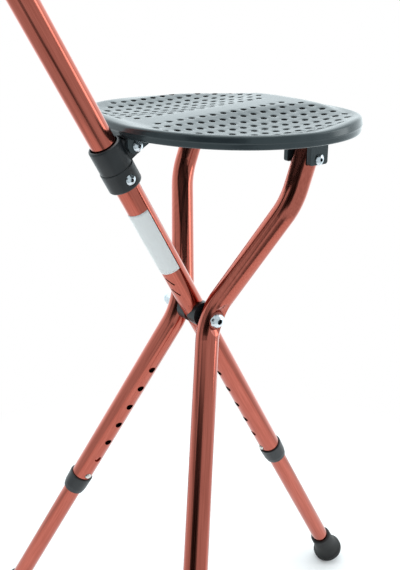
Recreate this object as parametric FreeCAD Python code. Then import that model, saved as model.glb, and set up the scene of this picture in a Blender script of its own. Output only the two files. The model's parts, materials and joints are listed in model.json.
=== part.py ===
import FreeCAD, Part
import os
from math import acos, cos, pi, radians, sin, sqrt, tan

# Walking stick seat: a cane that opens into a three-legged seat.
# Millimetres. +Z is up, +X points from the cane towards the seat, +Y along the hub bolt.
# Everything is modelled about the hub, where the cane crosses the two side legs,
# and is moved at the very end so that the origin lies on the floor in the middle.

# Tubes
outer_diameter = 22.2
inner_diameter = 19.0
outer_wall = 1.2
inner_wall = 1.2

# How the open frame stands
shaft_tilt = 29.1
leg_plane_tilt = 21.0
lower_splay = 20.6
upper_splay = 25.9
leg_corner_offset = 20.0
upper_rise = 114.8
hub_bend_radius = 55.0
top_bend_radius = 60.0
main_foot_reach = 446.0
shaft_top_reach = 452.0

# Height adjustment
hole_pitch = 25.4
hole_count = 7
main_button_reach = 208.0
side_button_reach = 228.8
tube_below_button = 15.0
inner_above_button = 40.0
snap_hole_diameter = 7.2
button_diameter = 6.6
button_stand_out = 2.2
button_flange_diameter = 8.8
button_flange_thickness = 1.2
button_dome_share = 1.15
spring_thickness = 0.6
spring_width = 5.0
spring_length = 30.0
spring_rest_gap = 1.0

# Sleeves over the lower ends of the outer tubes
sleeve_length = 21.0
sleeve_over_tube = 9.0
sleeve_top_diameter = 25.4
sleeve_bevel_diameter = 24.4
sleeve_bottom_diameter = 22.6
sleeve_bevel_height = 5.5
sleeve_rim_radius = 0.8

# Rubber ferrules
ferrule_diameter = 35.0
ferrule_neck_diameter = 24.5
ferrule_height = 37.0
ferrule_sole = 8.0
ferrule_flare = 5.0
ferrule_edge_radius = 4.5
ferrule_top_radius = 1.0
ferrule_waist_spread = 1.0
ferrule_waist_rise = 3.0
ferrule_grooves = 2
ferrule_groove_depth = 1.0
ferrule_groove_width = 1.0
ferrule_groove_start = 0.8
ferrule_groove_pitch = 3.2
insert_thickness = 1.6

# Hub
hub_bolt_diameter = 8.0
hub_head_diameter = 15.2
hub_head_height = 5.6
hub_socket_across = 5.0
hub_socket_depth = 2.8
cap_nut_across = 13.0
cap_nut_height = 16.5
cap_nut_hex_height = 7.0
cap_nut_dome_diameter = 12.5
thread_past_nut = 2.0
dimple_floor = 32.4
dimple_floor_radius = 8.2
dimple_slope = 50.0
dimple_rise = 9.0
spacer_diameter = 24.0
spacer_start = 2.0

# Collars on the cane
stop_collar_start = 151.3
stop_collar_height = 18.7
stop_collar_diameter = 30.4
slide_collar_height = 22.5
slide_collar_diameter = 29.0
slide_collar_bore = 24.8
collar_edge_radius = 2.0
collar_inner_edge_radius = 0.6
collar_screw_reach = 159.7
small_screw_diameter = 4.0
small_head_diameter = 9.2
small_head_height = 2.8
small_socket_across = 3.0
small_socket_depth = 1.5
spot_face_depth = 1.0
spot_face_margin = 0.4
small_nut_across = 7.0
small_nut_height = 3.2

# Seat hinge on the sliding collar
hinge_reach = 179.2
hinge_offset = 20.6
hinge_boss_radius = 7.6
tongue_width = 18.4
tongue_root = 9.5
tongue_above_stop = 0.6
tongue_rise = 1.9
ear_thickness = 4.0
ear_below_pin = 5.0
ear_from_shaft = 12.0
ear_far_reach = 44.0
ear_corner = 6.0
seat_screw_diameter = 5.0
seat_head_diameter = 9.5
seat_head_height = 2.9
seat_socket_across = 3.0
seat_socket_depth = 1.5
seat_nut_across = 8.0
seat_nut_height = 4.0
thread_past_seat_nut = 0.5

# Seat
seat_centre_x = 26.5
seat_half_length = 106.5
seat_half_width = 132.8
seat_squareness = 2.3
seat_top = 188.0
seat_depth = 14.3
rim_top_radius = 3.0
rim_bottom_radius = 1.5
skirt_wall = 3.2
plate_thickness = 3.0
outline_points = 48
rim_land = 6.0
rim_slope = 45.0
bowl_length = 211.0
bowl_width = 121.2
bowl_depth = 7.7
bowl_fullness = 0.62
bowl_tilt = 5.1
bowl_centre_x = 22.6
bowl_centre_y = 57.7
bowl_skin = 2.6
field_length = 186.0
field_width = 107.0
field_turn = 7.5
field_centre_x = 20.0
field_centre_y = 65.0
perforation_diameter = 4.8
perforation_pitch_x = 11.6
perforation_pitch_y = 13.6
perforation_first_x = -15.5
perforation_first_y = 15.7
perforation_margin = 3.0
rib_thickness = 2.6
rib_drop = 11.5
rib_end_inset = 8.0

# Brackets under the seat for the side legs
bracket_screw_drop = 35.0
bracket_width = 21.0
bracket_wall = 4.7
bracket_below_screw = 4.8
bracket_play = 0.4
bracket_corner = 2.5
leg_above_screw = 9.5

# Handle
handle_socket_diameter = 30.0
handle_socket_length = 46.0
handle_above_tube = 6.0
handle_back = 38.0
handle_front = 84.0
handle_grip_width = 25.0
handle_grip_height = 27.0
handle_nose_drop = 13.0
handle_socket_taper = 1.8
handle_socket_edge = 1.5

# Oblique slots in the cane between hub and stop collar
slot_width = 1.6
slot_length = 10.5
slot_lean = -52.0
slot_angle = 69.0
slot_reaches = (47.8, 34.5)

# Screw heads and nuts: how much of a head is dome, how far a shank runs into its head, and
# how far out from the middle a nut's corners are rounded off, as a share of its width
head_dome_share = 0.72
shank_into_head = 0.5
nut_corner_share = 0.56

# Clearances
pin_clearance = 0.08
sliding_clearance = 0.12
seat_fit = 0.05
face_gap = 0.12
notch_clearance = 2.2
end_gap = 0.5

# How far cutting bodies run on, past all that they have to cut
cut_reach = 60.0
past_everything = 400.0

V = FreeCAD.Vector
outer_radius = outer_diameter / 2
inner_radius = inner_diameter / 2
outer_bore = outer_radius - outer_wall
inner_bore = inner_radius - inner_wall
side_signs = (("left", 1), ("right", -1))

tilt = radians(shaft_tilt)
shaft_up = V(-sin(tilt), 0, cos(tilt))
towards_seat = V(cos(tilt), 0, sin(tilt))
plane_tilt = radians(leg_plane_tilt)
leg_plane_up = V(sin(plane_tilt), 0, cos(plane_tilt))


# Placement whose local +Z and +X lie along the given directions
def frame(origin, z_way, x_way):
    z_axis = V(z_way).normalize()
    y_axis = z_axis.cross(x_way).normalize()
    x_axis = y_axis.cross(z_axis)
    turn = FreeCAD.Rotation(x_axis, y_axis, z_axis, "ZXY")
    return FreeCAD.Placement(origin, turn)


def put(shape, placement):
    moved = shape.copy()
    moved.Placement = placement.multiply(moved.Placement)
    return moved


def cylinder(radius, start, end):
    return Part.makeCylinder(radius, end - start, V(0, 0, start))


def ring(outside, inside, start, end):
    return cylinder(outside, start, end).cut(cylinder(inside, start - 1, end + 1))


def box(x0, x1, y0, y1, z0, z1):
    return Part.makeBox(x1 - x0, y1 - y0, z1 - z0, V(x0, y0, z0))


def hexagon(across, start, end):
    radius = across / sqrt(3)
    corners = [V(radius * cos(k * pi / 3), radius * sin(k * pi / 3), start) for k in range(7)]
    return Part.Face(Part.makePolygon(corners)).extrude(V(0, 0, end - start))


# A rod along Y from one y to another, with the hub bolt's direction as its axis
def rod_along_y(radius, x, z, y0, y1):
    return Part.makeCylinder(radius, abs(y1 - y0), V(x, y0, z), V(0, 1 if y1 > y0 else -1, 0))


def revolved(points):
    corners = [V(r, 0, z) for r, z in points]
    profile = Part.Face(Part.makePolygon(corners + corners[:1]))
    return profile.revolve(V(0, 0, 0), V(0, 0, 1), 360)


def edges_at(shape, height, radius=None):
    found = []
    for edge in shape.Edges:
        box_ = edge.BoundBox
        level = abs(box_.ZMin - height) < 1e-4 and abs(box_.ZMax - height) < 1e-4
        if level and (radius is None or abs(box_.XMax - radius) < 1e-3):
            found.append(edge)
    return found


# Domed head with a hexagon socket, seated at z = 0 and standing up along +Z
def button_head(diameter, height, across, depth):
    rise = height * head_dome_share
    ball = (diameter * diameter / 4 + rise * rise) / (2 * rise)
    dome = Part.makeSphere(ball, V(0, 0, height - ball))
    head = cylinder(diameter / 2, 0, height).common(dome)
    return head.cut(hexagon(across, height - depth, height + 1))


def screw(diameter, length, head_diameter, head_height, across, depth):
    head = button_head(head_diameter, head_height, across, depth)
    return head.fuse(cylinder(diameter / 2, -length, shank_into_head)).removeSplitter()


def nut(across, height, bore):
    body = hexagon(across, 0, height).cut(cylinder(bore, -1, height + 1))
    limit = cylinder(across * nut_corner_share, 0, height)
    return body.common(limit)


# Hub: the cane, the two legs and their bolt
shaft_frame = frame(V(0, 0, 0), shaft_up, towards_seat)
rear_frame = frame(V(0, 0, 0), shaft_up, towards_seat * -1)


def leg_direction(side, splay):
    across = V(0, side, 0)
    return leg_plane_up * cos(radians(splay)) - across * sin(radians(splay))


def leg_corner(side):
    return V(0, side * leg_corner_offset, 0)


def lower_leg_frame(side):
    up = leg_direction(side, lower_splay)
    inward = leg_plane_up * -sin(radians(lower_splay)) - V(0, side, 0) * cos(radians(lower_splay))
    return frame(leg_corner(side), up, inward)


upper_run = upper_rise / cos(plane_tilt)
bracket_y = leg_corner_offset + upper_run * tan(radians(upper_splay))
hinge_point = shaft_up * hinge_reach + towards_seat * hinge_offset
bracket_screw_z = seat_top - bracket_screw_drop
bracket_screw_x = bracket_screw_z * tan(plane_tilt)
leg_bottom_reach = side_button_reach + tube_below_button
main_bottom_reach = main_button_reach + tube_below_button


def plane_point(side, y, run):
    return V(0, side * y, 0) + leg_plane_up * run


# Centre line of a side leg: straight runs joined by two tangent bends
def leg_path(side, top_reach):
    low = leg_corner(side) - leg_direction(side, lower_splay) * leg_bottom_reach
    hub = leg_corner(side)
    high = plane_point(side, bracket_y, upper_run)
    top = plane_point(side, bracket_y, top_reach)
    edges = []
    start = low
    for before, corner, after, radius in (
        (low, hub, high, hub_bend_radius),
        (hub, high, top, top_bend_radius),
    ):
        way_in = (corner - before).normalize()
        way_out = (after - corner).normalize()
        turn = acos(way_in.dot(way_out))
        back = radius * tan(turn / 2)
        first = corner - way_in * back
        last = corner + way_out * back
        towards = (way_out - way_in).normalize()
        middle = corner + towards * (radius / cos(turn / 2) - radius)
        edges.append(Part.LineSegment(start, first).toShape())
        edges.append(Part.Arc(first, middle, last).toShape())
        start = last
    edges.append(Part.LineSegment(start, top).toShape())
    return Part.Wire(edges), low


def swept_rod(path, start, direction, radius):
    profile = Part.Wire([Part.makeCircle(radius, start, direction)])
    return path.makePipeShell([profile], True, True)


# The pressed flat where the bolt head clamps a leg, as the space pushed in
def dimple(side, deeper):
    slope = tan(radians(dimple_slope))
    floor = dimple_floor - deeper
    reach = dimple_rise + deeper
    profile = [
        (0, floor),
        (dimple_floor_radius, floor),
        (dimple_floor_radius + reach * slope, floor + reach),
        (0, floor + reach),
    ]
    return put(revolved(profile), frame(V(0, 0, 0), V(0, side, 0), V(1, 0, 0)))


def make_side_leg(side):
    bend_offset = hub_bend_radius / cos(radians((lower_splay + upper_splay) / 2)) - hub_bend_radius
    top_reach = bracket_screw_z / cos(plane_tilt) + leg_above_screw
    path, start = leg_path(side, top_reach)
    along = leg_direction(side, lower_splay)
    outside = swept_rod(path, start, along, outer_radius).cut(dimple(side, 0))
    hollow = swept_rod(path, start, along, outer_bore).cut(dimple(side, outer_wall))
    leg = outside.cut(hollow)
    reach = leg_corner_offset + bend_offset + outer_radius
    hole = hub_bolt_diameter / 2 + pin_clearance
    leg = leg.cut(rod_along_y(hole, 0, 0, 0, side * (reach + 1)))
    pin = seat_screw_diameter / 2 + pin_clearance
    y = side * bracket_y
    bore = rod_along_y(pin, bracket_screw_x, bracket_screw_z, y - outer_diameter, y + outer_diameter)
    return leg.cut([bore, snap_holes(side_button_reach, lower_leg_frame(side))])


# Row of snap holes in one wall; local +X of the placement is the way they face
def snap_holes(lowest_reach, placement):
    holes = []
    for k in range(hole_count):
        z = -lowest_reach + k * hole_pitch
        hole = Part.makeCylinder(snap_hole_diameter / 2, outer_diameter, V(0, 0, z), V(1, 0, 0))
        holes.append(put(hole, placement))
    return Part.makeCompound(holes)


def make_slots():
    slots = []
    for reach in slot_reaches:
        slot = box(0, outer_diameter, -slot_length / 2, slot_length / 2, -slot_width / 2, slot_width / 2)
        slot.rotate(V(0, 0, 0), V(1, 0, 0), slot_lean)
        slot.translate(V(0, 0, reach))
        slot.rotate(V(0, 0, 0), V(0, 0, 1), -90 - slot_angle)
        slots.append(put(slot, shaft_frame))
    return Part.makeCompound(slots)


def make_main_tube():
    tube = ring(outer_radius, outer_bore, -main_bottom_reach, shaft_top_reach)
    tube = put(tube, shaft_frame)
    hole = hub_bolt_diameter / 2 + seat_fit
    tube = tube.cut(rod_along_y(hole, 0, 0, -outer_diameter, outer_diameter))
    screw_hole = small_screw_diameter / 2 + seat_fit
    centre = shaft_up * collar_screw_reach
    tube = tube.cut(rod_along_y(screw_hole, centre.x, centre.z, -outer_diameter, outer_diameter))
    tube = tube.cut(snap_holes(main_button_reach, rear_frame))
    return tube.cut(make_slots())


# Spacer that saddles the cane and gives the leg a flat to turn against
def make_spacer(side):
    reach = leg_corner_offset - outer_radius
    reach += hub_bend_radius / cos(radians((lower_splay + upper_splay) / 2)) - hub_bend_radius
    flat = reach - face_gap
    spacer = rod_along_y(spacer_diameter / 2, 0, 0, side * spacer_start, side * flat)
    spacer = spacer.cut(put(cylinder(outer_radius + seat_fit, -cut_reach, cut_reach), shaft_frame))
    bore = hub_bolt_diameter / 2 + seat_fit
    return spacer.cut(rod_along_y(bore, 0, 0, 0, side * reach))


def make_hub_bolt():
    under_head = dimple_floor + face_gap
    thread_end = under_head + cap_nut_hex_height + thread_past_nut
    bolt = screw(
        hub_bolt_diameter,
        under_head + thread_end,
        hub_head_diameter,
        hub_head_height,
        hub_socket_across,
        hub_socket_depth,
    )
    return put(bolt, frame(V(0, -under_head, 0), V(0, -1, 0), V(0, 0, 1)))


def make_cap_nut():
    ball = cap_nut_dome_diameter / 2
    bore = hub_bolt_diameter / 2 + seat_fit
    body = nut(cap_nut_across, cap_nut_hex_height, bore)
    dome = cylinder(ball, cap_nut_hex_height - 1, cap_nut_height - ball)
    dome = dome.fuse(Part.makeSphere(ball, V(0, 0, cap_nut_height - ball)))
    dome = dome.common(cylinder(cap_nut_across, cap_nut_hex_height - 1, cap_nut_height))
    body = body.fuse(dome)
    body = body.cut(cylinder(bore, -1, cap_nut_hex_height + thread_past_nut + end_gap))
    start = dimple_floor + face_gap
    return put(body.removeSplitter(), frame(V(0, start, 0), V(0, 1, 0), V(0, 0, 1)))


# Collars on the cane
def make_stop_collar():
    end = stop_collar_start + stop_collar_height
    body = cylinder(stop_collar_diameter / 2, stop_collar_start, end)
    low = edges_at(body, stop_collar_start)
    body = body.makeFillet(collar_edge_radius, low)
    body = body.makeFillet(collar_inner_edge_radius, edges_at(body, end))
    body = body.cut(cylinder(outer_radius + seat_fit, stop_collar_start - 1, end + 1))
    body = put(body, shaft_frame)
    centre = shaft_up * collar_screw_reach
    hole = small_screw_diameter / 2 + seat_fit
    reach = stop_collar_diameter
    body = body.cut(rod_along_y(hole, centre.x, centre.z, -reach, reach))
    spot = small_head_diameter / 2 + spot_face_margin
    for side in (-1, 1):
        face = side * collar_screw_face()
        body = body.cut(rod_along_y(spot, centre.x, centre.z, face, side * reach))
    return body


def collar_screw_face():
    return stop_collar_diameter / 2 - spot_face_depth


def make_collar_screw():
    face = collar_screw_face()
    centre = shaft_up * collar_screw_reach
    body = screw(
        small_screw_diameter,
        2 * face + small_nut_height - end_gap,
        small_head_diameter,
        small_head_height,
        small_socket_across,
        small_socket_depth,
    )
    return put(body, frame(V(centre.x, -face, centre.z), V(0, -1, 0), V(0, 0, 1)))


def make_collar_nut():
    centre = shaft_up * collar_screw_reach
    body = nut(small_nut_across, small_nut_height, small_screw_diameter / 2 + seat_fit)
    return put(body, frame(V(centre.x, collar_screw_face(), centre.z), V(0, 1, 0), V(0, 0, 1)))


# Ring that slides up the cane, with the tongue that carries the seat hinge
def make_slide_collar():
    start = stop_collar_start + stop_collar_height + face_gap
    end = start + slide_collar_height
    body = cylinder(slide_collar_diameter / 2, start, end)
    body = body.makeFillet(collar_edge_radius, edges_at(body, end))
    boss = Part.makeCylinder(
        hinge_boss_radius, tongue_width, V(hinge_offset, -tongue_width / 2, hinge_reach), V(0, 1, 0)
    )
    low = start + tongue_above_stop
    high = hinge_reach + hinge_boss_radius
    tip = hinge_offset + hinge_boss_radius
    profile = [
        (0, low),
        (tongue_root, low),
        (tip, low + tongue_rise),
        (tip, hinge_reach),
        (hinge_offset, high),
        (0, high),
    ]
    corners = [V(reach, -tongue_width / 2, z) for reach, z in profile]
    web = Part.Face(Part.makePolygon(corners + corners[:1])).extrude(V(0, tongue_width, 0))
    body = body.fuse([boss, web]).removeSplitter()
    body = body.cut(cylinder(slide_collar_bore / 2, start - 1, end + 1))
    pin = seat_screw_diameter / 2 + pin_clearance
    bore = Part.makeCylinder(
        pin, tongue_width + 2, V(hinge_offset, -tongue_width / 2 - 1, hinge_reach), V(0, 1, 0)
    )
    return put(body.cut(bore), shaft_frame)


# Seat
def seat_outline(inset, z):
    points = []
    for k in range(outline_points):
        angle = 2 * pi * k / outline_points
        c, s = cos(angle), sin(angle)
        power = 2 / seat_squareness
        x = (seat_half_length - inset) * abs(c) ** power * (1 if c >= 0 else -1)
        y = (seat_half_width - inset) * abs(s) ** power * (1 if s >= 0 else -1)
        points.append(V(seat_centre_x + x, y, z))
    curve = Part.BSplineCurve()
    curve.interpolate(Points=points, PeriodicFlag=True)
    return Part.Wire([curve.toShape()])


def seat_prism(inset, z0, z1):
    return Part.Face(seat_outline(inset, z0)).extrude(V(0, 0, z1 - z0))


# Ellipsoid that dishes one half of the seat, tilted so that it is deepest towards the outside;
# grow thickens it outwards all round
def bowl(side, grow):
    section = sqrt(1 - bowl_fullness**2)
    ball = Part.makeSphere(1.0)
    scale = FreeCAD.Matrix()
    rise = bowl_depth / (1 - bowl_fullness)
    scale.scale(
        bowl_length / 2 / section + grow,
        bowl_width / 2 / section + grow,
        rise + grow,
    )
    body = ball.transformGeometry(scale)
    body.rotate(V(0, 0, bowl_depth - rise), V(1, 0, 0), -side * bowl_tilt)
    body.translate(V(bowl_centre_x, side * bowl_centre_y, seat_top - bowl_depth + rise))
    return body


# Space inside the rim, whose wall slopes down from a flat land along the seat's edge
def rim_space(grow):
    drop = bowl_depth + bowl_skin
    inset = drop / tan(radians(rim_slope))
    wires = [
        seat_outline(rim_land + inset - grow, seat_top - drop - grow),
        seat_outline(rim_land - 1 - grow, seat_top + 1 - grow),
    ]
    return Part.makeLoft(wires, True, True)


# Whether a perforation at this place lies in the elliptical field that holds them
def in_field(x, y, margin):
    turn = radians(field_turn)
    dx, dy = x - field_centre_x, y - field_centre_y
    along = dx * cos(turn) + dy * sin(turn)
    across = dy * cos(turn) - dx * sin(turn)
    half_length = field_length / 2 - margin
    half_width = field_width / 2 - margin
    return (along / half_length) ** 2 + (across / half_width) ** 2 < 1


def perforations():
    radius = perforation_diameter / 2
    low, height = seat_bottom(), seat_depth + 1
    columns = int(seat_half_length / perforation_pitch_x) + 2
    rows = int(seat_half_width / perforation_pitch_y) + 1
    holes = []
    for row in range(rows):
        y = perforation_first_y + row * perforation_pitch_y
        for column in range(-columns, columns + 1):
            x = perforation_first_x + column * perforation_pitch_x
            if in_field(x, y, perforation_margin + radius):
                for _, side in side_signs:
                    holes.append(Part.makeCylinder(radius, height, V(x, side * y, low)))
    return holes


def seat_bottom():
    return seat_top - seat_depth


# Two ears that take the hinge bolt, either side of the collar's tongue
def hinge_ears():
    low = hinge_reach - ear_below_pin
    inner = tongue_width / 2 + face_gap
    seat_end = seat_centre_x - seat_half_length + skirt_wall / 2
    far = past_everything
    below = box(seat_end, far, -far, far, 0, seat_top - 1)
    ears = []
    for _, side in side_signs:
        y0, y1 = side * inner, side * (inner + ear_thickness)
        top = seat_top + cut_reach
        ear = box(ear_from_shaft, ear_far_reach, min(y0, y1), max(y0, y1), low, top)
        corner = [
            e for e in ear.Edges
            if e.BoundBox.ZMax < low + 1 and e.BoundBox.XMax < ear_from_shaft + 1
        ]
        ear = ear.makeFillet(ear_corner, corner)
        ears.append(put(ear, shaft_frame).common(below))
    return ears


def bracket_faces():
    near = outer_radius + bracket_play
    return near, near + bracket_wall


# Pair of hanging plates that hold the top of one side leg
def bracket_plates(side):
    plates = []
    near, far = bracket_faces()
    low = bracket_screw_z - bracket_below_screw
    for way in (-1, 1):
        y0 = side * bracket_y + way * near
        y1 = side * bracket_y + way * far
        half = bracket_width / 2
        plate = box(
            bracket_screw_x - half,
            bracket_screw_x + half,
            min(y0, y1),
            max(y0, y1),
            low,
            seat_top - 1,
        )
        lower_corners = [
            e for e in plate.Edges
            if abs(e.BoundBox.ZMax - low) < 1e-4 and e.BoundBox.YLength > bracket_wall / 2
        ]
        plates.append(plate.makeFillet(bracket_corner, lower_corners))
    return plates


def seat_ribs():
    ribs = []
    low = seat_top - rib_drop
    rib_start = hinge_point.x
    rib_end = seat_centre_x + seat_half_length - skirt_wall / 2
    inner = tongue_width / 2 + face_gap
    near, _ = bracket_faces()
    half = rib_thickness / 2
    for _, side in side_signs:
        y0, y1 = side * inner, side * (inner + rib_thickness)
        ribs.append(box(rib_start, rib_end, min(y0, y1), max(y0, y1), low, seat_top - 1))
        rim = seat_half_width - rib_end_inset
        for start, end in ((inner, bracket_y - near), (bracket_y + near, rim)):
            y0, y1 = side * start, side * end
            x = bracket_screw_x
            ribs.append(box(x - half, x + half, min(y0, y1), max(y0, y1), low, seat_top - 1))
    return ribs


def make_seat():
    low = seat_bottom()
    body = seat_prism(0, low, seat_top)
    body = body.makeFillet(rim_top_radius, edges_at(body, seat_top))
    body = body.makeFillet(rim_bottom_radius, edges_at(body, low))
    body = body.cut(seat_prism(skirt_wall, low - 1, seat_top - plate_thickness))
    inside = seat_prism(skirt_wall - 1, low, seat_top - 1)
    skin = rim_space(bowl_skin).common(inside)
    room = rim_space(0)
    body = body.fuse([bowl(side, bowl_skin).common(skin) for _, side in side_signs])
    hollows = [bowl(side, 0).common(room) for _, side in side_signs]
    body = body.cut(hollows + perforations())
    hangers = hinge_ears() + seat_ribs()
    for _, side in side_signs:
        hangers += bracket_plates(side)
    body = body.fuse([hanger.cut(hollows) for hanger in hangers])
    return body.cut(seat_bores() + collar_room())


# Bores for the hinge screw and the two bracket screws
def seat_bores():
    pin = seat_screw_diameter / 2 + seat_fit
    end = bracket_y + sum(bracket_faces())
    hinge = rod_along_y(pin, hinge_point.x, hinge_point.z, -tongue_width, tongue_width)
    return [hinge, rod_along_y(pin, bracket_screw_x, bracket_screw_z, -end, end)]


# Room in the seat's edge for the sliding collar and the cane above it
def collar_room():
    notch = slide_collar_diameter / 2 + notch_clearance
    top = stop_collar_start + stop_collar_height + slide_collar_height
    collar = put(cylinder(notch, top - cut_reach, top + notch_clearance), shaft_frame)
    cane = put(cylinder(outer_radius + notch_clearance, top, top + cut_reach), shaft_frame)
    ears_start = hinge_point.x - (hinge_offset - ear_from_shaft)
    far = past_everything
    outside = box(-far, ears_start, -far, far, 0, far)
    return [collar.common(outside), cane.common(outside)]


def make_hinge_screw():
    face = tongue_width / 2 + face_gap + ear_thickness
    length = 2 * face + seat_nut_height
    body = screw(
        seat_screw_diameter,
        length,
        seat_head_diameter,
        seat_head_height,
        seat_socket_across,
        seat_socket_depth,
    )
    return put(body, frame(V(hinge_point.x, -face, hinge_point.z), V(0, -1, 0), V(0, 0, 1)))


def seat_nut():
    height = seat_nut_height - thread_past_seat_nut
    return nut(seat_nut_across, height, seat_screw_diameter / 2 + seat_fit)


def make_hinge_nut():
    face = tongue_width / 2 + face_gap + ear_thickness
    body = seat_nut()
    return put(body, frame(V(hinge_point.x, face, hinge_point.z), V(0, 1, 0), V(0, 0, 1)))


def make_bracket_screw(side):
    _, far = bracket_faces()
    body = screw(
        seat_screw_diameter,
        2 * far + seat_nut_height,
        seat_head_diameter,
        seat_head_height,
        seat_socket_across,
        seat_socket_depth,
    )
    start = V(bracket_screw_x, side * (bracket_y + far), bracket_screw_z)
    return put(body, frame(start, V(0, side, 0), V(0, 0, 1)))


def make_bracket_nut(side):
    _, far = bracket_faces()
    body = seat_nut()
    start = V(bracket_screw_x, side * (bracket_y - far), bracket_screw_z)
    return put(body, frame(start, V(0, -side, 0), V(0, 0, 1)))


# Parts that repeat on all three legs, in the leg's own frame: +Z up the tube
def make_sleeve(tube_bottom):
    top = tube_bottom + sleeve_over_tube
    low = top - sleeve_length
    body = revolved([
        (0, low),
        (sleeve_bottom_diameter / 2, low),
        (sleeve_bevel_diameter / 2, low + sleeve_bevel_height),
        (sleeve_top_diameter / 2, top),
        (0, top),
    ])
    body = body.makeFillet(sleeve_rim_radius, edges_at(body, top))
    body = body.cut(cylinder(outer_radius + seat_fit, tube_bottom, top + 1))
    return body.cut(cylinder(inner_radius + sliding_clearance, low - 1, top + 1))


def make_inner_tube(button_z, sole_z):
    low = sole_z + ferrule_sole + insert_thickness
    tube = ring(inner_radius, inner_bore, low, button_z + inner_above_button)
    hole = Part.makeCylinder(
        button_diameter / 2 + sliding_clearance, outer_diameter, V(0, 0, button_z), V(1, 0, 0)
    )
    return tube.cut(hole)


def flange_face():
    half = button_flange_diameter / 2
    return sqrt(inner_bore**2 - half**2) - seat_fit


def make_button(button_z):
    tip = outer_radius + button_stand_out
    radius = button_diameter / 2
    front = flange_face()
    ball = radius * button_dome_share
    shank = cylinder(radius, front - button_flange_thickness, tip)
    shank = shank.common(
        Part.makeSphere(ball, V(0, 0, tip - ball)).fuse(cylinder(radius + 1, 0, tip - ball))
    )
    flange = cylinder(button_flange_diameter / 2, front - button_flange_thickness, front)
    body = shank.fuse(flange).removeSplitter()
    return put(body, frame(V(0, 0, button_z), V(1, 0, 0), V(0, 1, 0)))


# Hairpin leaf that pushes the button out, lying inside the inner tube
def make_button_spring(button_z):
    push = flange_face() - button_flange_thickness - seat_fit
    rest = -inner_bore + spring_rest_gap
    middle, half = (push + rest) / 2, spring_width / 2
    bend = (push - rest) / 2
    low = button_z - spring_length
    outside = Part.makeCylinder(bend, spring_width, V(middle, -half, low), V(0, 1, 0))
    inside = Part.makeCylinder(
        bend - spring_thickness, spring_width, V(middle, -half, low), V(0, 1, 0)
    )
    above = box(rest - 1, push + 1, -half - 1, half + 1, low, low + 2 * bend)
    hairpin = outside.cut(inside).cut(above)
    top = button_z + button_flange_diameter / 2
    pushing = box(push - spring_thickness, push, -half, half, low, top)
    resting = box(rest, rest + spring_thickness, -half, half, low, button_z)
    return hairpin.fuse([pushing, resting]).removeSplitter()


def make_ferrule(sole_z):
    wide, neck = ferrule_diameter / 2, ferrule_neck_diameter / 2
    top = sole_z + ferrule_height
    foot_top = sole_z + ferrule_sole + ferrule_flare
    corners = [V(0, 0, sole_z), V(wide, 0, sole_z), V(wide, 0, sole_z + ferrule_sole)]
    curve = Part.BezierCurve()
    curve.setPoles([
        V(wide, 0, sole_z + ferrule_sole),
        V(neck + ferrule_waist_spread, 0, foot_top),
        V(neck, 0, foot_top + ferrule_waist_rise),
        V(neck, 0, top),
    ])
    edges = [
        Part.LineSegment(corners[0], corners[1]).toShape(),
        Part.LineSegment(corners[1], corners[2]).toShape(),
        curve.toShape(),
        Part.LineSegment(V(neck, 0, top), V(0, 0, top)).toShape(),
        Part.LineSegment(V(0, 0, top), corners[0]).toShape(),
    ]
    body = Part.Face(Part.Wire(edges)).revolve(V(0, 0, 0), V(0, 0, 1), 360)
    body = body.makeFillet(ferrule_edge_radius, edges_at(body, sole_z))
    body = body.makeFillet(ferrule_top_radius, edges_at(body, top))
    for k in range(ferrule_grooves):
        z = sole_z + ferrule_edge_radius + ferrule_groove_start + k * ferrule_groove_pitch
        groove = ring(wide + 1, wide - ferrule_groove_depth, z, z + ferrule_groove_width)
        body = body.cut(groove)
    return body.cut(cylinder(inner_radius + seat_fit, sole_z + ferrule_sole, top + 1))


def make_insert(sole_z):
    low = sole_z + ferrule_sole + seat_fit
    disc = cylinder(inner_radius - seat_fit, low, low + insert_thickness - 2 * seat_fit)
    return disc.cut(cylinder(inner_radius / 3, low - 1, low + insert_thickness + 1))


# The edge of a tilted ferrule that meets the floor, as a depth below the hub
def floor_depth(reach, lean):
    ring_radius = ferrule_diameter / 2 - ferrule_edge_radius
    down = (reach - ferrule_edge_radius) * cos(lean)
    return down + ring_radius * sin(lean) + ferrule_edge_radius


def side_foot_reach():
    lean = acos(cos(plane_tilt) * cos(radians(lower_splay)))
    ring_radius = ferrule_diameter / 2 - ferrule_edge_radius
    down = floor_depth(main_foot_reach, tilt) - ferrule_edge_radius - ring_radius * sin(lean)
    return down / cos(lean) + ferrule_edge_radius


# Handle: a socket over the cane's top and a curved grip square to it
def grip_section(x, z, width, height, lean):
    ellipse = Part.Ellipse(V(0, 0, 0), height / 2, width / 2) if height >= width else Part.Ellipse(
        V(0, 0, 0), width / 2, height / 2
    )
    wire = Part.Wire([ellipse.toShape()])
    tall = V(-sin(lean), 0, cos(lean))
    along = V(cos(lean), 0, sin(lean))
    long_way = tall if height >= width else V(0, 1, 0)
    return put(wire, frame(V(x, 0, z), along, long_way))


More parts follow.
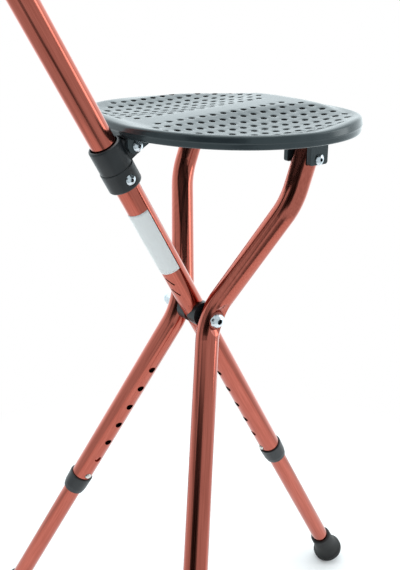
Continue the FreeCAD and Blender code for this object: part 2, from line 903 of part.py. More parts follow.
def make_handle():
    grip_z = shaft_top_reach + handle_above_tube + handle_grip_height / 2
    width, height = handle_grip_width, handle_grip_height
    # Along the grip, its height, its width and height as shares of the full ones, its lean
    stations = [
        (-handle_front, -handle_nose_drop, 0.42, 0.40, 24),
        (-handle_front + 5, -handle_nose_drop + 1.5, 0.74, 0.72, 20),
        (-handle_front * 0.72, -handle_nose_drop * 0.38, 0.98, 0.94, 12),
        (-handle_front * 0.35, 0, 1.0, 0.96, 2),
        (0, 0.5, 1.06, 1.06, 0),
        (handle_back * 0.55, 1.5, 1.02, 1.04, 4),
        (handle_back - 4, 3.2, 0.80, 0.82, 8),
        (handle_back, 3.8, 0.45, 0.45, 10),
    ]
    wires = [
        grip_section(x, grip_z + z, width * w, height * h, radians(lean))
        for x, z, w, h, lean in stations
    ]
    grip = Part.makeLoft(wires, True, False)
    low = shaft_top_reach - handle_socket_length
    socket = Part.makeCone(
        handle_socket_diameter / 2 - handle_socket_taper,
        handle_socket_diameter / 2,
        grip_z - low,
        V(0, 0, low),
    )
    socket = socket.makeFillet(handle_socket_edge, edges_at(socket, low))
    body = grip.fuse(socket).removeSplitter()
    body = body.cut(cylinder(outer_radius + seat_fit, low - 1, shaft_top_reach + seat_fit))
    return put(body, shaft_frame)


def make_extension(name, button_reach, sole_reach, placement):
    button_z, sole_z = -button_reach, -sole_reach
    pieces = {
        "inner_tube_" + name: make_inner_tube(button_z, sole_z),
        "snap_button_" + name: make_button(button_z),
        "button_spring_" + name: make_button_spring(button_z),
        "ferrule_" + name: make_ferrule(sole_z),
        "ferrule_insert_" + name: make_insert(sole_z),
        "tube_sleeve_" + name: make_sleeve(button_z - tube_below_button),
    }
    return {key: put(shape, placement) for key, shape in pieces.items()}


def build():
    pieces = {
        "main_tube": make_main_tube(),
        "handle": make_handle(),
        "stop_collar": make_stop_collar(),
        "stop_collar_screw": make_collar_screw(),
        "stop_collar_nut": make_collar_nut(),
        "slide_collar": make_slide_collar(),
        "seat": make_seat(),
        "seat_hinge_screw": make_hinge_screw(),
        "seat_hinge_nut": make_hinge_nut(),
        "hub_bolt": make_hub_bolt(),
        "hub_cap_nut": make_cap_nut(),
    }
    pieces.update(make_extension("main", main_button_reach, main_foot_reach, rear_frame))
    for name, side in side_signs:
        pieces["side_leg_" + name] = make_side_leg(side)
        pieces["hub_spacer_" + name] = make_spacer(side)
        pieces["bracket_screw_" + name] = make_bracket_screw(side)
        pieces["bracket_nut_" + name] = make_bracket_nut(side)
        placement = lower_leg_frame(side)
        pieces.update(make_extension(name, side_button_reach, side_foot_reach(), placement))
    return pieces


# Move the whole from the hub to the middle of the floor, and write one file per piece
def write(pieces):
    whole = Part.makeCompound(list(pieces.values())).optimalBoundingBox(False, False)
    depth = floor_depth(main_foot_reach, tilt)
    shift = V(-(whole.XMin + whole.XMax) / 2, 0, depth)
    os.makedirs("parts", exist_ok=True)
    for name in sorted(pieces):
        shape = pieces[name].copy()
        shape.translate(shift)
        solids = shape.Solids
        print(name, len(solids), shape.isValid(), round(shape.Volume, 1))
        kept = solids[0] if len(solids) == 1 else Part.makeCompound(solids)
        kept.exportStep("parts/" + name + ".step")
    print("hub at", round(shift.x, 3), 0, round(shift.z, 3))
    print("bottom", round(whole.ZMin + shift.z, 3), "top", round(whole.ZMax + shift.z, 3))
    print("seat hinge at", hinge_point + shift)
    print("leg brackets at", V(bracket_screw_x, bracket_y, bracket_screw_z) + shift)


write(build())
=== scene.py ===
import json
from math import cos, pi, radians, sin, sqrt, tan

import bmesh
import bpy
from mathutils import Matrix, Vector
from mathutils.geometry import delaunay_2d_cdt


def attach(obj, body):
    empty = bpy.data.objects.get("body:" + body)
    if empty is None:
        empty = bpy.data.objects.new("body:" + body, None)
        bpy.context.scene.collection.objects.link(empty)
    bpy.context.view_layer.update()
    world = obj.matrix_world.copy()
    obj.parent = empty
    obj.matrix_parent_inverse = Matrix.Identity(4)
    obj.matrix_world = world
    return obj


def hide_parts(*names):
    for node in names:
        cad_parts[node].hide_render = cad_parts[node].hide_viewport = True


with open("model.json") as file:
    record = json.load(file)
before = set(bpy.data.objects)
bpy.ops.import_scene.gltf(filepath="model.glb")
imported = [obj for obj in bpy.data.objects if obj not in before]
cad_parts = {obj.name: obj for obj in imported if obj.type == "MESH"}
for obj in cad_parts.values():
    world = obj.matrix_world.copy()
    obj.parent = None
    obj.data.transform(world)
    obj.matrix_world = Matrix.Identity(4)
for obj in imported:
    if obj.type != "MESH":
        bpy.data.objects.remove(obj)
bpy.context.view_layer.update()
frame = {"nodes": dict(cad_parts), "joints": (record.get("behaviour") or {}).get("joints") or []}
MM = 0.001
TINY = 1e-6

# The hub, where the cane crosses the side legs, is the point that all sizes here are taken from
joints = {joint["name"]: joint for joint in frame["joints"]}
HUB = Vector(joints["leg_fold"]["pos_m"])
SHAFT_TILT = radians(29.1)
SHAFT_UP = Vector((-sin(SHAFT_TILT), 0, cos(SHAFT_TILT)))
TOWARDS_SEAT = Vector((cos(SHAFT_TILT), 0, sin(SHAFT_TILT)))
LEG_PLANE_TILT = radians(21.0)
LEG_SPLAY = radians(20.6)
TUBE_RADIUS = 11.1

# Seat, in millimetres from the hub
SEAT_CENTRE = (26.5, 0.0)
SEAT_HALF = (106.5, 132.8)
SEAT_SQUARENESS = 2.3
SEAT_TOP = 188.0
SKIRT_WALL = 3.2
RIM_LAND = 6.0
BOWL_CENTRE = (22.6, 57.7)
BOWL_HALF = (105.5, 60.6)
BOWL_TILT = radians(5.1)
BOWL_DEPTH = 7.7
BOWL_FULLNESS = 0.62
BOWL_SOFTNESS = 0.9
SEAT_SLOPE = (0.055, 0.03)
SLOPE_FADE = 14.0
RIM_FALL = 4.3
RIM_FALL_LOW = 1.1
RIM_FALL_TURN = 1.2
RIM_FALL_REACH = (50.0, 140.0)
FIELD_INSET = 11.5
FIELD_CENTRE = (20.0, 63.0)
FIELD_HALF = (87.0, 55.0)
PLATE = 2.8
HOLE_RADIUS = 2.75
HOLE_ROUNDING = 0.3
HOLE_PITCH = (11.6, 13.6)
HOLE_FIRST = (-15.5, 15.7)
HOLE_SIDES = 20
OUTLINE_POINTS = 200
GRID_STEP = 4.2
GRID_STEP_UNDER = 6.3
GRID_EDGE = 9.0
GRID_HOLE_GAP = 0.275


def at(x, y, z):
    return HUB + Vector((x, y, z)) * MM


# New piece that rides on a body, with the given material
def link(name, mesh, body, material):
    thing = bpy.data.objects.new(name, mesh)
    bpy.context.collection.objects.link(thing)
    mesh.materials.append(material)
    mesh.polygons.foreach_set("use_smooth", [True] * len(mesh.polygons))
    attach(thing, body)
    return thing


def new_material(name):
    material = bpy.data.materials.new(name)
    material.use_nodes = True
    nodes = material.node_tree.nodes
    shader = next(n for n in nodes if n.type == "BSDF_PRINCIPLED")
    return material, material.node_tree, shader


def add(tree, kind, **settings):
    node = tree.nodes.new(kind)
    for key, value in settings.items():
        setattr(node, key, value)
    return node


# Colour ramp driven by noise, between a darker and a lighter version of the base
def mottled(tree, vector, scale, dark, light, detail=4.0):
    noise = add(tree, "ShaderNodeTexNoise")
    noise.inputs["Scale"].default_value = scale
    noise.inputs["Detail"].default_value = detail
    tree.links.new(vector, noise.inputs["Vector"])
    ramp = add(tree, "ShaderNodeValToRGB")
    ramp.color_ramp.elements[0].position = 0.35
    ramp.color_ramp.elements[0].color = (*dark, 1)
    ramp.color_ramp.elements[1].position = 0.65
    ramp.color_ramp.elements[1].color = (*light, 1)
    tree.links.new(noise.outputs["Fac"], ramp.inputs["Fac"])
    return ramp.outputs["Color"], noise.outputs["Fac"]


def roughness_from(tree, shader, fac, low, high):
    spread = add(tree, "ShaderNodeMapRange")
    spread.inputs["To Min"].default_value = low
    spread.inputs["To Max"].default_value = high
    tree.links.new(fac, spread.inputs["Value"])
    tree.links.new(spread.outputs["Result"], shader.inputs["Roughness"])


def bump_from(tree, shader, fac, distance, strength):
    bump = add(tree, "ShaderNodeBump")
    bump.inputs["Distance"].default_value = distance
    bump.inputs["Strength"].default_value = strength
    tree.links.new(fac, bump.inputs["Height"])
    tree.links.new(bump.outputs["Normal"], shader.inputs["Normal"])


def object_vector(tree, stretch=None, direction=None):
    coordinates = add(tree, "ShaderNodeTexCoord").outputs["Object"]
    if direction is None:
        return coordinates
    turn = Vector(direction).rotation_difference(Vector((0, 0, 1))).to_euler()
    turned = add(tree, "ShaderNodeVectorRotate", rotation_type="EULER_XYZ")
    turned.inputs["Rotation"].default_value = turn
    tree.links.new(coordinates, turned.inputs["Vector"])
    scaled = add(tree, "ShaderNodeMapping")
    scaled.inputs["Scale"].default_value = stretch
    tree.links.new(turned.outputs["Vector"], scaled.inputs["Vector"])
    return scaled.outputs["Vector"]


# Anodised tube: copper red with faint lengthwise draw marks and a clear sheen
def copper_tube(name, direction):
    material, tree, shader = new_material(name)
    along = object_vector(tree, (1.0, 1.0, 0.03), direction)
    colour, streaks = mottled(tree, along, 900, (0.42, 0.104, 0.072), (0.52, 0.140, 0.100), 6.0)
    tree.links.new(colour, shader.inputs["Base Color"])
    shader.inputs["Metallic"].default_value = 1.0
    shader.inputs["Coat Weight"].default_value = 0.15
    shader.inputs["Coat Roughness"].default_value = 0.12
    roughness_from(tree, shader, streaks, 0.10, 0.19)
    bump_from(tree, shader, streaks, 0.00002, 0.15)
    return material


# Moulded plastic with a fine spark-eroded grain
def moulded_plastic(name, dark, light, roughness, grain=2600, depth=0.00003, sheen=(1, 1, 1)):
    material, tree, shader = new_material(name)
    vector = object_vector(tree)
    colour, _ = mottled(tree, vector, 60, dark, light)
    tree.links.new(colour, shader.inputs["Base Color"])
    # The specular tint colours the plastic's reflections; a non-white tint is painted reflection
    # colour
    shader.inputs["Specular Tint"].default_value = (*sheen, 1)
    noise = add(tree, "ShaderNodeTexNoise")
    noise.inputs["Scale"].default_value = grain
    noise.inputs["Detail"].default_value = 3.0
    tree.links.new(vector, noise.inputs["Vector"])
    roughness_from(tree, shader, noise.outputs["Fac"], roughness - 0.06, roughness + 0.06)
    bump_from(tree, shader, noise.outputs["Fac"], depth, 0.35)
    return material


# Bright plating, with painted shade darkening its sockets and recesses
def plated_metal(name, dark, light, roughness):
    material, tree, shader = new_material(name)
    vector = object_vector(tree)
    colour, cloud = mottled(tree, vector, 500, dark, light)
    # Painted shade: the base colour goes dark where ambient occlusion finds a socket or recess
    recess_occlusion = add(tree, "ShaderNodeAmbientOcclusion", only_local=True)
    recess_occlusion.inputs["Distance"].default_value = 0.004
    depth = add(tree, "ShaderNodeMapRange")
    depth.inputs["From Min"].default_value = 0.45
    depth.inputs["From Max"].default_value = 0.95
    tree.links.new(recess_occlusion.outputs["AO"], depth.inputs["Value"])
    shade = add(tree, "ShaderNodeMix", data_type="RGBA")
    shade.inputs["A"].default_value = (0.03, 0.04, 0.05, 1)
    tree.links.new(depth.outputs["Result"], shade.inputs["Factor"])
    tree.links.new(colour, shade.inputs["B"])
    tree.links.new(shade.outputs["Result"], shader.inputs["Base Color"])
    shader.inputs["Metallic"].default_value = 1.0
    roughness_from(tree, shader, cloud, roughness - 0.05, roughness + 0.08)
    bump_from(tree, shader, cloud, 0.00002, 0.2)
    return material


# Direction up along the lower part of a side leg
def side_up(side):
    up = Vector((sin(LEG_PLANE_TILT), 0, cos(LEG_PLANE_TILT)))
    return up * cos(LEG_SPLAY) - Vector((0, side, 0)) * sin(LEG_SPLAY)


COPPER_CANE = copper_tube("copper_cane", SHAFT_UP)
COPPER_LEFT = copper_tube("copper_left", side_up(1))
COPPER_RIGHT = copper_tube("copper_right", side_up(-1))
# The seat's cyan specular tint is painted reflection colour, the room's tint laid on its sheen
SEAT_PLASTIC = moulded_plastic(
    "seat_plastic", (0.024, 0.032, 0.036), (0.032, 0.041, 0.046), 0.20, sheen=(0.85, 0.98, 1.0)
)
# Darker and rougher copy of the seat plastic for the walls of the perforations: its dark colour is
# painted shade inside the holes
HOLE_PAINTED_SHADE_PLASTIC = moulded_plastic("seat_plastic_painted_shade", (0.008, 0.010, 0.011), (0.013, 0.015, 0.016), 0.75)
COLLAR_PLASTIC = moulded_plastic("collar_plastic", (0.009, 0.011, 0.013), (0.014, 0.017, 0.020), 0.38)
HANDLE_PLASTIC = moulded_plastic("handle_plastic", (0.016, 0.017, 0.018), (0.023, 0.024, 0.026), 0.42)
FOOT_RUBBER = moulded_plastic(
    "foot_rubber", (0.014, 0.014, 0.014), (0.024, 0.023, 0.022), 0.68, 1200, 0.00008
)
ZINC = plated_metal("zinc_steel", (0.60, 0.66, 0.70), (0.76, 0.82, 0.86), 0.20)
NICKEL = plated_metal("nickel_steel", (0.66, 0.64, 0.60), (0.80, 0.78, 0.74), 0.18)


def dress(node, material):
    thing = frame["nodes"][node]
    thing.data.materials.clear()
    thing.data.materials.append(material)


def dress_cad():
    for name in frame["nodes"]:
        if name in ("main_tube", "inner_tube_main"):
            dress(name, COPPER_CANE)
        elif name in ("side_leg_left", "inner_tube_left"):
            dress(name, COPPER_LEFT)
        elif name in ("side_leg_right", "inner_tube_right"):
            dress(name, COPPER_RIGHT)
        elif name.startswith("ferrule_insert") or "screw" in name or "nut" in name or "bolt" in name:
            dress(name, ZINC)
        elif name.startswith("ferrule"):
            dress(name, FOOT_RUBBER)
        elif name == "handle":
            dress(name, HANDLE_PLASTIC)
        elif name == "seat":
            dress(name, SEAT_PLASTIC)
        elif name.startswith(("snap_button", "button_spring")):
            dress(name, NICKEL)
        else:
            dress(name, COLLAR_PLASTIC)


# Seat
def outline(inset, count=OUTLINE_POINTS):
    points = []
    power = 2 / SEAT_SQUARENESS
    for k in range(count):
        angle = 2 * pi * k / count
        c, s = cos(angle), sin(angle)
        x = (SEAT_HALF[0] - inset) * abs(c) ** power * (1 if c >= 0 else -1)
        y = (SEAT_HALF[1] - inset) * abs(s) ** power * (1 if s >= 0 else -1)
        points.append((SEAT_CENTRE[0] + x, SEAT_CENTRE[1] + y))
    return points


# How far inside the seat's edge a point lies
def inset_at(x, y):
    u, v = abs(x - SEAT_CENTRE[0]) / SEAT_HALF[0], abs(y) / SEAT_HALF[1]
    power = SEAT_SQUARENESS
    reach = max((u ** power + v ** power) ** (1 / power), TINY)
    slope_x = u ** (power - 1) / SEAT_HALF[0]
    slope_y = v ** (power - 1) / SEAT_HALF[1]
    steepness = sqrt(slope_x ** 2 + slope_y ** 2)
    return (1 - reach) / max(steepness * reach ** (1 - power), TINY)


def soft_above_zero(value):
    return (value + sqrt(value * value + BOWL_SOFTNESS * BOWL_SOFTNESS)) / 2


# Depth of the sitting surface below its own plane: a tilted bowl in each half, inside a wall
# that follows the rim
def dish(x, y):
    dx, dy = x - BOWL_CENTRE[0], abs(y) - BOWL_CENTRE[1]
    reach = (dx / BOWL_HALF[0]) ** 2 + (dy / BOWL_HALF[1]) ** 2
    rise = BOWL_DEPTH / (1 - BOWL_FULLNESS)
    under = max(1 - (1 - BOWL_FULLNESS ** 2) * reach, 0.0)
    bowl = rise * (sqrt(under) - BOWL_FULLNESS) + tan(BOWL_TILT) * dy - SEAT_SLOPE[1] * abs(y)
    wall = inset_at(x, y) - RIM_LAND
    return soft_above_zero(wall - soft_above_zero(wall - bowl))


def eased(value):
    share = min(max(value, 0.0), 1.0)
    return share * share * (3 - 2 * share)


# Share of the full fall that the rim has at a point: all of it at the right and the hinge
def rim_fall(x, y):
    right = -y - RIM_FALL_TURN * (x - SEAT_CENTRE[0])
    return eased((right - RIM_FALL_REACH[0]) / (RIM_FALL_REACH[1] - RIM_FALL_REACH[0]))


# Height of the sitting surface, whose plane rises a little away from the hinge and to the left
def seat_surface(x, y):
    share = eased((inset_at(x, y) - RIM_LAND) / SLOPE_FADE)
    lift = SEAT_SLOPE[0] * (x - SEAT_CENTRE[0]) + SEAT_SLOPE[1] * y
    return SEAT_TOP - dish(x, y) + share * lift - (1 - share) * RIM_FALL * rim_fall(x, y)


# Whether a point lies in one of the two perforated fields
def in_field(x, y):
    along = (x - FIELD_CENTRE[0]) / FIELD_HALF[0]
    across = (abs(y) - FIELD_CENTRE[1]) / FIELD_HALF[1]
    return along ** 4 + across ** 4 < 1 and inset_at(x, y) > FIELD_INSET


def hole_places():
    columns = int(SEAT_HALF[0] / HOLE_PITCH[0]) + 2
    rows = int(SEAT_HALF[1] / HOLE_PITCH[1]) + 1
    for row in range(rows):
        y = HOLE_FIRST[1] + row * HOLE_PITCH[1]
        for column in range(-columns, columns + 1):
            x = HOLE_FIRST[0] + column * HOLE_PITCH[0]
            if in_field(x, y):
                yield x, y
                yield x, -y


def circle(x, y, radius, count):
    return [
        (x + radius * cos(2 * pi * k / count), y + radius * sin(2 * pi * k / count))
        for k in range(count)
    ]


# Flat triangulated sheet inside a border, with round openings; returns its points, its
# triangles, the border's point numbers and each opening's point numbers
def perforated_sheet(border, holes, radius, step):
    points, loops, edges = [], [], []

    def take(loop):
        first = len(points)
        points.extend(loop)
        numbers = list(range(first, len(points)))
        edges.extend((numbers[k - 1], numbers[k]) for k in range(len(numbers)))
        loops.append(numbers)

    take(border)
    for x, y in holes:
        take(circle(x, y, radius, HOLE_SIDES))
    clear = radius + GRID_HOLE_GAP * step
    half_x, half_y = SEAT_HALF[0] - GRID_EDGE, SEAT_HALF[1] - GRID_EDGE
    steps_x, steps_y = int(SEAT_HALF[0] / step) + 1, int(SEAT_HALF[1] / step) + 1
    for i in range(-steps_x, steps_x + 1):
        for j in range(-steps_y, steps_y + 1):
            x = SEAT_CENTRE[0] + (i + 0.5 * (j % 2)) * step
            y = SEAT_CENTRE[1] + j * step
            u, v = (x - SEAT_CENTRE[0]) / half_x, (y - SEAT_CENTRE[1]) / half_y
            if abs(u) ** SEAT_SQUARENESS + abs(v) ** SEAT_SQUARENESS > 1:
                continue
            if any((x - a) ** 2 + (y - b) ** 2 < clear * clear for a, b in holes):
                continue
            points.append((x, y))
    flat = [Vector(p) for p in points]
    made = delaunay_2d_cdt(flat, edges, [], 0, TINY)
    found, triangles, sources = made[0], made[2], made[3]
    new_number = {}
    for number, origins in enumerate(sources):
        for origin in origins:
            new_number[origin] = number
    opening = {}
    for loop_number, loop in enumerate(loops[1:]):
        for number in loop:
            opening[new_number[number]] = loop_number
    kept = []
    for triangle in triangles:
        owners = {opening.get(number, -1) for number in triangle}
        if len(owners) == 1 and -1 not in owners:
            continue
        kept.append(triangle)
    loops = [[new_number[number] for number in loop] for loop in loops]
    return [tuple(p) for p in found], kept, loops[0], loops[1:]


# Section through the rim and skirt, as distance in from the edge and height, from the top land
# over the side to the inside of the skirt
RIM_PROFILE = (
    (4.4, 188.0), (3.4, 187.95), (2.5, 187.75), (1.8, 187.4), (1.25, 186.85), (0.9, 186.1),
    (0.7, 185.2), (0.45, 183.6), (0.2, 182.2), (0.04, 181.4), (0.0, 181.0), (0.12, 180.5),
    (0.4, 179.9), (0.55, 179.2), (0.8, 176.8), (0.95, 175.4), (1.25, 174.6), (1.75, 174.0),
    (2.35, 173.75), (2.85, 173.9), (3.12, 174.5), (3.2, 175.6), (3.2, 179.0), (3.2, 182.6),
    (3.7, 184.3), (5.2, 185.1),
)
RIM_INNER_POINTS = 6
RIM_INSET = 7.0
COLLAR_ROOM = 16.9
COLLAR_ROOM_UNDER = 19.5
COLLAR_ROOM_END = 195.5


# The rim falls most at its top and least at the foot of the skirt
def fallen(x, y, z):
    foot = min(height for _, height in RIM_PROFILE)
    share = (z - foot) / (SEAT_TOP - foot)
    return z - rim_fall(x, y) * (RIM_FALL_LOW + (RIM_FALL - RIM_FALL_LOW) * share)


# The hinge end of the skirt is hollowed so that the sliding collar clears it
def clear_the_collar(x, y, z, inner):
    along = x * SHAFT_UP.x + z * SHAFT_UP.z
    across = x * TOWARDS_SEAT.x + z * TOWARDS_SEAT.z
    reach = sqrt(across * across + y * y)
    wanted = COLLAR_ROOM_UNDER if inner else COLLAR_ROOM
    if along > COLLAR_ROOM_END or reach >= wanted or reach < TINY:
        return x, y, z
    across, y = across * wanted / reach, y * wanted / reach
    spot = SHAFT_UP * along + TOWARDS_SEAT * across
    return spot.x, y, spot.z


def make_seat():
    holes = list(hole_places())
    bm = bmesh.new()
    border = outline(RIM_INSET)
    top = perforated_sheet(border, holes, HOLE_RADIUS + HOLE_ROUNDING, GRID_STEP)
    low = perforated_sheet(border, holes, HOLE_RADIUS, GRID_STEP_UNDER)

    def new_vertex(x, y, z, inner=False):
        return bm.verts.new(at(*clear_the_collar(x, y, z, inner)))

    top_verts = [new_vertex(x, y, seat_surface(x, y)) for x, y in top[0]]
    low_verts = [new_vertex(x, y, seat_surface(x, y) - PLATE, True) for x, y in low[0]]
    for triangle in top[1]:
        bm.faces.new([top_verts[k] for k in triangle])
    for triangle in low[1]:
        bm.faces.new([low_verts[k] for k in reversed(triangle)])

    # Band of faces between two rings; a shaded band takes the darker plastic, painted shade
    def join(upper, lower, shaded_wall=False):
        count = len(upper)
        for k in range(count):
            n = (k + 1) % count
            face = bm.faces.new((upper[k], lower[k], lower[n], upper[n]))
            face.material_index = 1 if shaded_wall else 0

    # Rounded mouths and walls of the perforations; below the first band of each mouth they take the
    # darker plastic, painted shade inside the holes
    halfway = HOLE_ROUNDING * (1 - sqrt(0.5))
    for (x, y), upper, lower in zip(holes, top[3], low[3]):
        rings = [[top_verts[k] for k in upper][::-1]]
        for radius, drop in ((HOLE_RADIUS + halfway, halfway), (HOLE_RADIUS, HOLE_ROUNDING)):
            places = circle(x, y, radius, HOLE_SIDES)
            rings.append([new_vertex(a, b, seat_surface(a, b) - drop) for a, b in places][::-1])
        rings.append([low_verts[k] for k in lower][::-1])
        for upper_ring, lower_ring in zip(rings, rings[1:]):
            join(upper_ring, lower_ring, upper_ring is not rings[0])

    # Rim, from the top round the outside and up the inside of the skirt
    rings = [[top_verts[k] for k in top[2]]]
    for number, (inset, z) in enumerate(RIM_PROFILE):
        inner = number >= len(RIM_PROFILE) - RIM_INNER_POINTS
        rings.append([new_vertex(x, y, fallen(x, y, z), inner) for x, y in outline(inset)])
    rings.append([low_verts[k] for k in low[2]])
    for upper_ring, lower_ring in zip(rings, rings[1:]):
        join(upper_ring, lower_ring)
    bmesh.ops.recalc_face_normals(bm, faces=bm.faces)
    mesh = bpy.data.meshes.new("seat_shell")
    bm.to_mesh(mesh)
    bm.free()
    shell = link("seat_shell", mesh, "seat_frame", SEAT_PLASTIC)
    # Second slot: the darker plastic that paints shade into the holes
    mesh.materials.append(HOLE_PAINTED_SHADE_PLASTIC)
    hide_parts("seat")


# Hinge ears, leg brackets and ribs under the seat
PLATE_ROUNDING = 0.6
HINGE_REACH = 179.2
HINGE_X = -69.15
TONGUE_HALF = 9.32
EAR_BELOW_PIN = 5.0
EAR_FROM_SHAFT = 12.0
EAR_FAR_REACH = 44.0
EAR_CORNER = 6.0
EAR_BELOW_TOP = 1.2
EAR_THICKNESS = 4.0
BRACKET = Vector((58.7312, 79.7098, 153.0))
BRACKET_HALF_WIDTH = 10.5
BRACKET_FACES = (11.5, 16.2)
BRACKET_BELOW = 4.8
BRACKET_CORNER = 2.5
RIB_THICKNESS = 2.6
RIB_DEPTH = 11.5
RIB_LOW = SEAT_TOP - RIB_DEPTH
RIB_ROUNDING = 0.3
RIB_END_INSET = 8.0
RIB_STEP = 6.0


# Plate between two outlines of as many points, with rounded edges
def slab(name, near_side, far_side, rounding):
    bm = bmesh.new()
    near = [bm.verts.new(at(*spot)) for spot in near_side]
    far = [bm.verts.new(at(*spot)) for spot in far_side]
    bm.faces.new(near)
    bm.faces.new(far[::-1])
    for k in range(len(near)):
        n = (k + 1) % len(near)
        bm.faces.new((near[k], far[k], far[n], near[n]))
    bmesh.ops.recalc_face_normals(bm, faces=bm.faces)
    mesh = bpy.data.meshes.new(name)
    bm.to_mesh(mesh)
    bm.free()
    thing = link(name, mesh, "seat_frame", SEAT_PLASTIC)
    bevel = thing.modifiers.new("rounded", "BEVEL")
    bevel.width = rounding * MM
    bevel.segments = 3
    bevel.limit_method = "ANGLE"
    bevel.angle_limit = radians(40)
    bevel.harden_normals = True


# Plate with an outline in X and Z, standing between two values of Y
def plate(name, profile, y0, y1, rounding=PLATE_ROUNDING):
    low, high = min(y0, y1), max(y0, y1)
    near_side = [(x, low, z) for x, z in profile]
    far_side = [(x, high, z) for x, z in profile]
    slab(name, near_side, far_side, rounding)


def arc(x, z, radius, start, end, count):
    return [
        (
            x + radius * cos(radians(start + (end - start) * k / count)),
            z + radius * sin(radians(start + (end - start) * k / count)),
        )
        for k in range(count + 1)
    ]


# Top edge of a plate under the seat, from one X to another, sunk in the sitting plate
def under_surface(x_from, x_to, y):
    steps = max(int(abs(x_to - x_from) / RIB_STEP), 2)
    places = [x_from + (x_to - x_from) * k / steps for k in range(steps + 1)]
    return [(x, seat_surface(x, y) - PLATE / 2) for x in places]


# Side view of a hinge ear, laid out from the cane's own axis
def ear_profile():
    top = SEAT_TOP - EAR_BELOW_TOP
    low = HINGE_REACH - EAR_BELOW_PIN
    near = EAR_FROM_SHAFT
    flat = arc(near + EAR_CORNER, low + EAR_CORNER, EAR_CORNER, 180, 270, 12)
    flat.append((EAR_FAR_REACH, low))
    points = [TOWARDS_SEAT * reach + SHAFT_UP * rise for reach, rise in flat]
    first, last = points[0], points[-1]
    up_from_last = last + SHAFT_UP * ((top - last.z) / SHAFT_UP.z)
    up_from_first = first + SHAFT_UP * ((top - first.z) / SHAFT_UP.z)
    seat_end = SEAT_CENTRE[0] - SEAT_HALF[0] + SKIRT_WALL / 2
    side = up_from_first.lerp(first, (seat_end - up_from_first.x) / (first.x - up_from_first.x))
    profile = [(point.x, point.z) for point in points]
    profile += under_surface(up_from_last.x, seat_end, TONGUE_HALF + EAR_THICKNESS / 2)
    return profile + [(side.x, side.z)]


# Rib across the seat above the leg brackets
def cross_rib(name, side, start, end):
    steps = max(int((end - start) / RIB_STEP), 2)
    profile = [(side * start, RIB_LOW), (side * end, RIB_LOW)]
    for k in range(steps + 1):
        y = side * (end + (start - end) * k / steps)
        profile.append((y, seat_surface(BRACKET.x, y) - PLATE / 2))
    near_side = [(BRACKET.x - RIB_THICKNESS / 2, y, z) for y, z in profile]
    far_side = [(BRACKET.x + RIB_THICKNESS / 2, y, z) for y, z in profile]
    slab(name, near_side, far_side, RIB_ROUNDING)


def make_hangers():
    ear = ear_profile()
    left, right = BRACKET.x - BRACKET_HALF_WIDTH, BRACKET.x + BRACKET_HALF_WIDTH
    low = BRACKET.z - BRACKET_BELOW
    for name, side in (("left", 1), ("right", -1)):
        plate("hinge_ear_" + name, ear, side * TONGUE_HALF, side * (TONGUE_HALF + EAR_THICKNESS))
        for place, way in (("outer", 1), ("inner", -1)):
            y0 = side * (BRACKET.y + way * BRACKET_FACES[0])
            y1 = side * (BRACKET.y + way * BRACKET_FACES[1])
            middle = (y0 + y1) / 2
            corner = BRACKET_CORNER
            bracket = arc(left + corner, low + corner, corner, 180, 270, 6)
            bracket += arc(right - corner, low + corner, corner, 270, 360, 6)
            bracket += under_surface(right, left, middle)
            plate("leg_bracket_" + place + "_" + name, bracket, y0, y1)
        rib_end = SEAT_CENTRE[0] + SEAT_HALF[0] - SKIRT_WALL / 2
        long_rib = [(HINGE_X, RIB_LOW), (rib_end, RIB_LOW)]
        long_rib += under_surface(rib_end, HINGE_X, side * (TONGUE_HALF + RIB_THICKNESS / 2))
        rib_side = side * (TONGUE_HALF + RIB_THICKNESS)
        plate("long_rib_" + name, long_rib, side * TONGUE_HALF, rib_side, RIB_ROUNDING)
        bracket_near, bracket_far = BRACKET.y - BRACKET_FACES[0], BRACKET.y + BRACKET_FACES[0]
        cross_rib("cross_rib_inner_" + name, side, TONGUE_HALF, bracket_near)
        cross_rib("cross_rib_outer_" + name, side, bracket_far, SEAT_HALF[1] - RIB_END_INSET)


# Bare white label, wrapped part of the way round the cane
LABEL_START = 57.5
LABEL_END = 126.0
LABEL_ANGLES = (-10.0, 110.0)
LABEL_STAND_OFF = 0.09
LABEL_THICKNESS = 0.08
LABEL_CELLS = (40, 24)


def make_label():
    bm = bmesh.new()
    across, along = LABEL_CELLS
    rows = []
    for j in range(along + 1):
        reach = LABEL_START + (LABEL_END - LABEL_START) * j / along
        row = []
        for i in range(across + 1):
            turn = radians(LABEL_ANGLES[0] + (LABEL_ANGLES[1] - LABEL_ANGLES[0]) * i / across)
            out = Vector((0, -1, 0)) * cos(turn) - TOWARDS_SEAT * sin(turn)
            spot = SHAFT_UP * reach + out * (TUBE_RADIUS + LABEL_STAND_OFF)
            row.append(bm.verts.new(at(*spot)))
        rows.append(row)
    for low, high in zip(rows, rows[1:]):
        for i in range(across):
            bm.faces.new((low[i], low[i + 1], high[i + 1], high[i]))
    bmesh.ops.recalc_face_normals(bm, faces=bm.faces)
    mesh = bpy.data.meshes.new("blank_label")
    bm.to_mesh(mesh)
    bm.free()
    material, tree, shader = new_material("label_paper")
    vector = object_vector(tree)
    colour, cloud = mottled(tree, vector, 1400, (0.90, 0.90, 0.89), (0.94, 0.94, 0.93))
    tree.links.new(colour, shader.inputs["Base Color"])
    roughness_from(tree, shader, cloud, 0.35, 0.5)
    bump_from(tree, shader, cloud, 0.00003, 0.2)
    label = link("blank_label", mesh, "cane", material)
    thick = label.modifiers.new("paper", "SOLIDIFY")
    thick.thickness = LABEL_THICKNESS * MM
    thick.offset = 1.0


